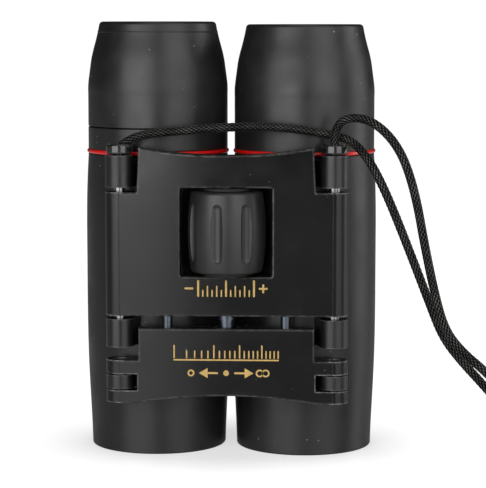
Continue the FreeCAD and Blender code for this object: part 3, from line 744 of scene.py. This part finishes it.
    def build(self, shop: FinishShop, nodes: dict[str, bpy.types.Object]) -> bpy.types.Object:
        """Args:
            shop: Finishes.
            nodes: CAD nodes by name; not used.

        Returns:
            The cord.
        """
        line = self.centre_line()
        points, crowns, faces = [], [], []
        normal = Vector((0, 1, 0))
        for index, place in enumerate(line):
            heading = (line[min(index + 1, len(line) - 1)] - line[max(index - 1, 0)]).normalized()
            normal = (normal - heading * normal.dot(heading)).normalized()
            side = heading.cross(normal)
            for spoke in range(self.around):
                turn = spoke / self.around
                height = self.crown(turn, index * self.step)
                radius = self.diameter / 2 * (1 - self.relief + self.relief * height)
                angle = 2 * math.pi * turn
                points.append(place + (normal * math.cos(angle) + side * math.sin(angle)) * radius)
                crowns.append(height)
        for ring in range(len(line) - 1):
            for spoke in range(self.around):
                after = (spoke + 1) % self.around
                faces.append((ring * self.around + spoke, ring * self.around + after,
                              (ring + 1) * self.around + after, (ring + 1) * self.around + spoke))
        last = (len(line) - 1) * self.around
        faces.append(tuple(reversed(range(self.around))))
        faces.append(tuple(range(last, last + self.around)))
        mesh = bpy.data.meshes.new("neck_cord")
        mesh.from_pydata(points, [], faces)
        crown_data = mesh.attributes.new(self.CROWN, "FLOAT", "POINT")
        crown_data.data.foreach_set("value", crowns)
        cord = new_piece("neck_cord", mesh)
        shop.dress(cord, "cord")
        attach(cord, Body.BRIDGE.value)
        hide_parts("cord_left_lead", "cord_right_lead", "cord_coil")
        return cord


# ---- printed scales ------------------------------------------------------------------------
@dataclass
class PrintedScale:
    """Thin raised ink marks on the front of a plate, drawn from bars, dots and rings."""

    name: str
    front: float
    thickness: float = 0.00005

    def __post_init__(self) -> None:
        """Starts an empty mesh."""
        self.shape = bmesh.new()

    def polygon(self, outline: Iterable[tuple[float, float]]) -> None:
        """Adds one flat mark.

        Args:
            outline: (x, z) corners in metres, anticlockwise seen from the front.
        """
        corners = list(outline)
        front = [self.shape.verts.new((x, self.front - self.thickness, z)) for x, z in corners]
        back = [self.shape.verts.new((x, self.front + self.thickness, z)) for x, z in corners]
        self.shape.faces.new(front)
        self.shape.faces.new(back[::-1])
        for index in range(len(corners)):
            after = (index + 1) % len(corners)
            self.shape.faces.new((front[after], front[index], back[index], back[after]))

    def bar(self, x: float, z: float, width: float, height: float) -> None:
        """Adds a bar with clipped corners about (x, z)."""
        cut = 0.25 * min(width, height)
        half_w, half_h = width / 2, height / 2
        corners = []
        for sx, sz in ((1, 1), (-1, 1), (-1, -1), (1, -1)):
            near_side = (x + sx * half_w, z + sz * (half_h - cut))
            near_top = (x + sx * (half_w - cut), z + sz * half_h)
            corners += [near_side, near_top] if sx == sz else [near_top, near_side]
        self.polygon(corners)

    def ring(self, x: float, z: float, radius: float, width: float, steps: int = 28) -> None:
        """Adds a ring about (x, z) as short joined segments."""
        for step in range(steps):
            edges = [2 * math.pi * (step + k) / steps for k in (0, 1)]
            outer = [(x + radius * math.cos(a), z + radius * math.sin(a)) for a in edges]
            inner = [(x + (radius - width) * math.cos(a), z + (radius - width) * math.sin(a))
                     for a in reversed(edges)]
            self.polygon(outer + inner)

    def disc(self, x: float, z: float, radius: float, steps: int = 20) -> None:
        """Adds a filled dot about (x, z)."""
        self.polygon((x + radius * math.cos(2 * math.pi * k / steps),
                      z + radius * math.sin(2 * math.pi * k / steps)) for k in range(steps))

    def finish(self, shop: FinishShop, body: Body) -> bpy.types.Object:
        """Makes the piece from its marks.

        Args:
            shop: Finishes.
            body: Body that it rides on.

        Returns:
            The printed piece.
        """
        bmesh.ops.remove_doubles(self.shape, verts=self.shape.verts, dist=1e-7)
        mesh = bpy.data.meshes.new(self.name)
        self.shape.to_mesh(mesh)
        self.shape.free()
        piece = new_piece(self.name, mesh, smooth=False)
        shop.dress(piece, "gold")
        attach(piece, body.value)
        return piece


@dataclass
class HingePlates:
    """Main plate and focus plate with their printed scales."""

    focus_z: float = 37.9 * MM
    focus_width: float = 17.6 * MM
    focus_ticks: int = 13
    distance_z: float = 23.9 * MM
    distance_width: float = 22.8 * MM
    distance_ticks: int = 20
    arrows_z: float = 19.5 * MM
    tall_tick: float = 3.6 * MM
    bold: float = 0.42 * MM
    fine: float = 0.3 * MM

    def print_focus_scale(self, shop: FinishShop) -> None:
        """Prints the tick scale under the focus wheel, with minus and plus at its ends.

        Args:
            shop: Finishes.
        """
        scale = PrintedScale("focus_scale_print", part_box("bridge_plate")[0][1])
        middle = self.focus_ticks // 2
        inner = self.focus_width - 5.6 * MM
        for index in range(self.focus_ticks):
            x = (index - middle) * inner / (self.focus_ticks - 1)
            tall = index % middle == 0
            height = self.tall_tick if tall else (2.4 * MM if index % 2 == 0 else 1.5 * MM)
            width = self.bold if tall else self.fine
            scale.bar(x, self.focus_z - self.tall_tick / 2 + height / 2, width, height)
        end = self.focus_width / 2 - 0.8 * MM
        for x in (-end, end):
            scale.bar(x, self.focus_z, 1.9 * MM, self.bold)
        for z in (-0.58 * MM, 0.58 * MM):
            scale.bar(end, self.focus_z + z, self.bold, 0.74 * MM)
        scale.finish(shop, Body.BRIDGE)

    def print_distance_scale(self, shop: FinishShop) -> None:
        """Prints the two rows of the focus plate: a distance ladder, and near and far marks.

        Args:
            shop: Finishes.
        """
        scale = PrintedScale("distance_scale_print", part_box("focus_plate")[0][1])
        scale.bar(0, self.distance_z - 1.55 * MM, self.distance_width, 0.32 * MM)
        for index in range(self.distance_ticks):
            share = index / (self.distance_ticks - 1)
            x = self.distance_width * (share ** 0.72 - 0.5)
            height = 2.9 * MM if index % 5 == 0 else 1.7 * MM
            scale.bar(x * 0.985, self.distance_z - 1.2 * MM + height / 2, self.fine, height)
        tip = 5.9 * MM
        barb = tip - 1.9 * MM
        for sign in (-1, 1):
            head = [(sign * tip, self.arrows_z), (sign * barb, self.arrows_z + 1.1 * MM),
                    (sign * barb, self.arrows_z - 1.1 * MM)]
            scale.polygon(head if sign > 0 else head[::-1])
            scale.bar(sign * 2.9 * MM, self.arrows_z, 2.3 * MM, self.bold)
        scale.disc(0, self.arrows_z, 0.62 * MM)
        scale.ring(-7.6 * MM, self.arrows_z, 0.75 * MM, 0.34 * MM)
        for x in (6.95 * MM, 8.25 * MM):
            scale.ring(x + 0.3 * MM, self.arrows_z, 0.85 * MM, 0.34 * MM)
        scale.finish(shop, Body.FOCUS_PLATE)


# ---- barrels -------------------------------------------------------------------------------
@dataclass
class Barrel:
    """One barrel: its middle in plan and the fine moulding line on its eyecup."""

    side: Side
    bead: float = 0.00012
    mould_radius: float = 13.36 * MM
    mould_height: float = 92.7 * MM

    def axis(self) -> tuple[float, float]:
        """Middle of the barrel in plan, from its prism holder's box."""
        low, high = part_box(self.side.value + "_prism_holder")
        return ((low[0] + high[0]) / 2, (low[1] + high[1]) / 2)

    def add_mould_line(self, shop: FinishShop, body: Body) -> None:
        """Adds the thin raised line that the eyecup's mould leaves.

        Args:
            shop: Finishes.
            body: Body that the eyecup belongs to.
        """
        bead, radius, height = self.bead, self.mould_radius, self.mould_height
        profile = [(radius - 3 * bead, height - 1.4 * bead), (radius, height - 1.4 * bead),
                   (radius + bead * 0.8, height), (radius, height + 1.4 * bead),
                   (radius - 3 * bead, height + 1.4 * bead)]
        line = lathe(self.side.value + "_mould_line", profile, self.axis())
        shop.dress(line, "eyecup")
        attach(line, body.value)


# ---- studio --------------------------------------------------------------------------------
@dataclass(frozen=True)
class Softbox:
    """Rectangular studio light that faces the object."""

    name: str
    azimuth: float
    elevation: float
    distance: float
    width: float
    height: float
    power: float

    def build(self, target: Vector) -> None:
        """Adds the light.

        Args:
            target: Point that it faces.
        """
        data = bpy.data.lights.new(self.name, "AREA")
        data.shape = "RECTANGLE"
        data.size = self.width
        data.size_y = self.height
        data.energy = self.power
        light = bpy.data.objects.new(self.name, data)
        azimuth, elevation = math.radians(self.azimuth), math.radians(self.elevation)
        offset = Vector((math.sin(azimuth) * math.cos(elevation),
                         -math.cos(azimuth) * math.cos(elevation), math.sin(elevation)))
        light.location = target + offset * self.distance
        light.rotation_euler = (-offset).to_track_quat("-Z", "Y").to_euler()
        bpy.context.scene.collection.objects.link(light)


@dataclass
class Studio:
    """White floor and surround, softboxes and the camera."""

    floor_size: float = 60.0
    # Floor glow where the painted contact shadow is deepest.
    painted_shadow_glow: float = 0.64
    shade_reach: float = 0.028
    cast_share: float = 0.22
    lights: tuple[Softbox, ...] = (
        Softbox("key_softbox", -30.0, 6.0, 0.75, 0.70, 0.7, 5.6),
        Softbox("fill_softbox", 38.0, 18.0, 0.85, 0.66, 0.8, 4.2),
        Softbox("side_softbox", 100.0, 8.0, 0.8, 0.4, 0.8, 2.4),
        Softbox("top_softbox", 0.0, 80.0, 0.9, 0.6, 0.6, 1.2),
    )
    surround: float = 1.05
    surround_cast: float = 0.03
    camera_azimuth: float = 2.6
    camera_pitch: float = 6.2
    camera_distance: float = 0.445
    camera_height: float = 0.0935
    aim_x: float = 0.00265
    lens: float = 146.5

    def build_floor(self) -> None:
        """Adds the glossy white floor, whose glow is lowered near the object as a painted contact
        shadow.
        """
        half = self.floor_size / 2
        mesh = bpy.data.meshes.new("floor")
        corners = [(-half, -half, 0), (half, -half, 0), (half, half, 0), (-half, half, 0)]
        mesh.from_pydata(corners, [], [(0, 1, 2, 3)])
        floor = new_piece("floor", mesh, smooth=False)
        graph, shader, material = new_material("white_acrylic", {
            "Base Color": (0.40, 0.40, 0.40), "Specular IOR Level": 0.5,
            "Emission Color": (1.0, 1.0, 1.0)})
        place = graph.add("TexCoord").outputs["Object"]
        noise = graph.add("TexNoise", {"Vector": place, "Scale": 30.0})
        link(graph, graph.ramp(noise.outputs["Fac"], 0.3, 0.7, 0.16, 0.2), shader, "Roughness")
        # The glow falls where the object hides the sky: painted contact shadow on the floor.
        open_sky = graph.add("AmbientOcclusion", {"Distance": self.shade_reach}).outputs["AO"]
        glow = graph.ramp(open_sky, 0.5, 1.0, self.painted_shadow_glow, 1.0)
        seen = graph.add("LightPath").outputs["Is Camera Ray"]
        cast = graph.ramp(seen, 0.0, 1.0, self.cast_share, 1.0)
        link(graph, graph.math("MULTIPLY", glow, cast), shader, "Emission Strength")
        floor.data.materials.append(material)

    def build_world(self) -> None:
        """Sets a white surround that lights the object less than it shows."""
        world = bpy.data.worlds.new("studio")
        bpy.context.scene.world = world
        world.use_nodes = True
        graph = Graph(world.node_tree)
        seen = graph.add("Background", {"Color": (1.0, 1.0, 1.0), "Strength": self.surround})
        cast = graph.add("Background", {"Color": (1.0, 1.0, 1.0), "Strength": self.surround_cast})
        path = graph.add("LightPath")
        mixed = graph.add("MixShader", {0: path.outputs["Is Camera Ray"], 1: cast.outputs[0],
                                        2: seen.outputs[0]})
        out = graph.add("OutputWorld")
        graph.tree.links.new(mixed.outputs[0], out.inputs["Surface"])

    def build_camera(self, barrel_y: float) -> None:
        """Adds the camera.

        Args:
            barrel_y: Depth of the barrels' centre plane.
        """
        data = bpy.data.cameras.new("camera")
        data.lens = self.lens
        data.sensor_width = 36.0
        data.clip_start = 0.01
        camera = bpy.data.objects.new("camera", data)
        azimuth = math.radians(self.camera_azimuth)
        camera.location = (self.aim_x + self.camera_distance * math.sin(azimuth),
                           barrel_y - self.camera_distance * math.cos(azimuth), self.camera_height)
        camera.rotation_euler = (math.radians(90.0 - self.camera_pitch), 0.0, azimuth)
        bpy.context.scene.collection.objects.link(camera)
        bpy.context.scene.camera = camera

    def build(self, barrel_y: float) -> None:
        """Builds the whole studio.

        Args:
            barrel_y: Depth of the barrels' centre plane.
        """
        bpy.context.scene.view_settings.view_transform = "Standard"
        self.build_floor()
        self.build_world()
        self.build_camera(barrel_y)
        for light in self.lights:
            light.build(Vector((0.0, barrel_y, 0.05)))


# ---- assembly ------------------------------------------------------------------------------
class Binoculars:
    """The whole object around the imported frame."""

    def __init__(self, frame: dict[str, Any]) -> None:
        """Keeps the frame and prepares the finishes.
        """
        self.nodes = frame["nodes"]
        self.shop = FinishShop()
        self.left_barrel = Barrel(Side.LEFT)

    def dress_nodes(self) -> None:
        """Gives every CAD node its finish."""
        for name, node in self.nodes.items():
            plain = name.removeprefix("left_").removeprefix("right_")
            if plain in NODE_FINISH:
                self.shop.dress(node, NODE_FINISH[plain])
                LOG.info("%s: %s", name, NODE_FINISH[plain])

    def build(self) -> None:
        """Builds the cord, the prints and the left eyecup's moulding line, and dresses the rest."""
        self.dress_nodes()
        BraidedCord().build(self.shop, self.nodes)
        plates = HingePlates()
        plates.print_focus_scale(self.shop)
        plates.print_distance_scale(self.shop)
        self.left_barrel.add_mould_line(self.shop, Body.DIOPTRE)
        Studio().build(self.left_barrel.axis()[1])


def main() -> None:
    """Builds everything in order."""
    logging.basicConfig(level=logging.INFO, format="%(name)s: %(message)s")
    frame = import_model()
    Binoculars(frame).build()


if __name__ == "__main__":
    main()
